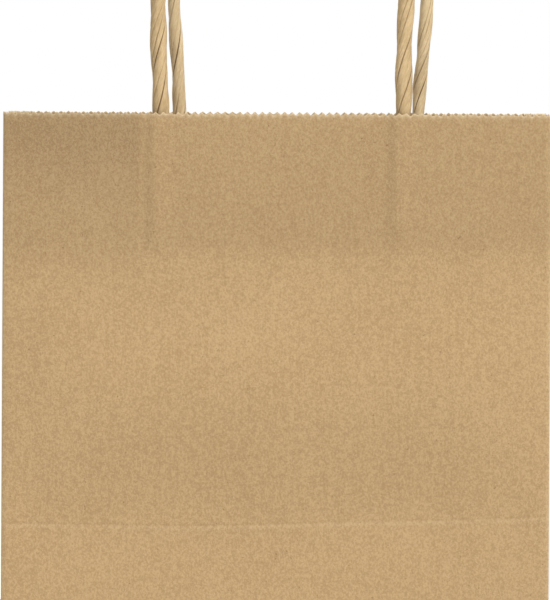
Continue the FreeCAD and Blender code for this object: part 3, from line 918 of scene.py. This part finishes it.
# the face paper darkens by its painted shade attribute; the patch paper does not
kraft = kraft_material("kraft_paper", dark=(0.388, 0.248, 0.119, 1), light=(0.500, 0.344, 0.171, 1),
                       pale=(0.66, 0.51, 0.31, 1), painted_shade_depth=0.24)
patch_kraft = kraft_material("patch_paper", dark=(0.36, 0.225, 0.105, 1), light=(0.47, 0.32, 0.158, 1),
                             pale=(0.62, 0.47, 0.28, 1), painted_shade_depth=0.0)
front_cord = cord_material("twisted_cord_front", dark=(0.46, 0.315, 0.153, 1),
                           light=(0.64, 0.475, 0.262, 1))
# the back cord is painted lighter than the front one, standing in for floor light that the front face keeps
# from it
back_cord_painted_lighter = cord_material("twisted_cord_back", dark=(0.60, 0.44, 0.238, 1),
                          light=(0.81, 0.635, 0.38, 1))


# ---------------------------------------------------------------- assembly

def dress(piece, material):
    """Gives a piece its material and slot."""
    piece.data.materials.append(material)


def place_sheet(piece, material, body):
    """Dresses a sheet and fixes it to its body."""
    dress(piece, material)
    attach(piece, body)


def place_handle(side, material, sway, spread, number):
    """A handle cord, lying against its face below the mouth and rising to its hinge above, given its
    material, with its transform baked into its mesh.
    """
    cord = make_handle(side, sway, spread, number)
    dress(cord, material)
    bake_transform(cord)


number = 1
for side, sign in (("front", -1), ("back", 1)):
    place_sheet(make_face(side, sign, number), kraft, f"{side}_face")
    place_sheet(make_base_flap(side, sign, number + 10), kraft, "front_face")
    for strip in make_patch(side, sign, number + 30):
        place_sheet(strip, patch_kraft, f"{side}_face")
    number += 1
for side, across_sign in (("left", -1), ("right", 1)):
    for half, depth_sign in (("front", -1), ("back", 1)):
        half_side = make_side(side, half, across_sign, depth_sign, number)
        place_sheet(half_side, kraft, f"{side}_side_{half}")
        number += 1
    place_sheet(make_base_tuck(side, across_sign, number + 20), kraft, "front_face")
place_sheet(make_seam(number=55), kraft, "back_face")

place_handle("front", front_cord, sway=-0.3 * MM, spread=-0.2 * MM, number=5)
place_handle("back", back_cord_painted_lighter, sway=0.4 * MM, spread=1.2 * MM, number=8)


# ---------------------------------------------------------------- floor and light

floor_mesh = bpy.data.meshes.new("floor")
floor_corners = [(-FLOOR, -FLOOR, 0), (FLOOR, -FLOOR, 0), (FLOOR, FLOOR, 0), (-FLOOR, FLOOR, 0)]
floor_mesh.from_pydata(floor_corners, [], [(0, 1, 2, 3)])
floor = bpy.data.objects.new("floor", floor_mesh)
floor.location.z = -0.1 * MM
floor.data.materials.append(floor_material())
bpy.context.scene.collection.objects.link(floor)


def area_light(name, place, size, power):
    """A square soft light aimed at the middle of the bag."""
    target = Vector((0, 0, HEIGHT / 2))
    data = bpy.data.lights.new(name, "AREA")
    data.energy = power
    data.size = size
    light = bpy.data.objects.new(name, data)
    light.location = place
    light.rotation_euler = (target - Vector(place)).to_track_quat("-Z", "Y").to_euler()
    bpy.context.scene.collection.objects.link(light)


area_light("key", place=(2.34, -1.96, 3.6), size=1.5, power=177)
area_light("top", place=(0.1, -0.55, 2.1), size=1.6, power=19)
area_light("fill", place=(-1.3, -3.0, 1.1), size=2.0, power=23)
area_light("rim", place=(-1.3, 2.2, 1.8), size=1.4, power=34)

WORLD_LIGHT = 0.20
WORLD_SEEN = 1.0  # the backdrop's brightness in the picture

world = bpy.data.worlds.new("studio")
world.use_nodes = True
nodes, links = world.node_tree.nodes, world.node_tree.links
strength = nodes.new("ShaderNodeMapRange")
strength.inputs["To Min"].default_value = WORLD_LIGHT
strength.inputs["To Max"].default_value = WORLD_SEEN
nodes["Background"].inputs["Color"].default_value = (1, 1, 1, 1)
links.new(nodes.new("ShaderNodeLightPath").outputs["Is Camera Ray"], strength.inputs["Value"])
links.new(strength.outputs["Result"], nodes["Background"].inputs["Strength"])
bpy.context.scene.world = world
bpy.context.scene.view_settings.view_transform = "Standard"

# ---------------------------------------------------------------- camera

FACE_SHARE = 0.995  # of the picture's width that the front face fills
PICTURE_ASPECT = 12 / 11  # its height over its width
TOP_SHARE = 0.188  # of the picture's height that is above the mouth
DISTANCE = 5.5
CAMERA_RISE = 14 * MM  # above the mouth
CAMERA_SHIFT = -0.5 * MM
ROLL = 0.3  # degrees: the bag leans slightly in the picture

picture_height = 2 * HALF_WIDTH / FACE_SHARE * PICTURE_ASPECT
face_plane = -HALF_MOUTH - FOLD_ROUND
aim = Vector((CAMERA_SHIFT, face_plane, HEIGHT + picture_height * (TOP_SHARE - 0.5)))

camera_data = bpy.data.cameras.new("camera")
camera_data.lens = camera_data.sensor_width * DISTANCE / picture_height
camera_data.clip_end = 60
camera = bpy.data.objects.new("camera", camera_data)
camera.location = (CAMERA_SHIFT, face_plane - DISTANCE, HEIGHT + CAMERA_RISE)
level = (aim - camera.location).to_track_quat("-Z", "Y")
camera.rotation_euler = (level @ Quaternion((0, 0, 1), math.radians(ROLL))).to_euler()
bpy.context.scene.collection.objects.link(camera)
bpy.context.scene.camera = camera
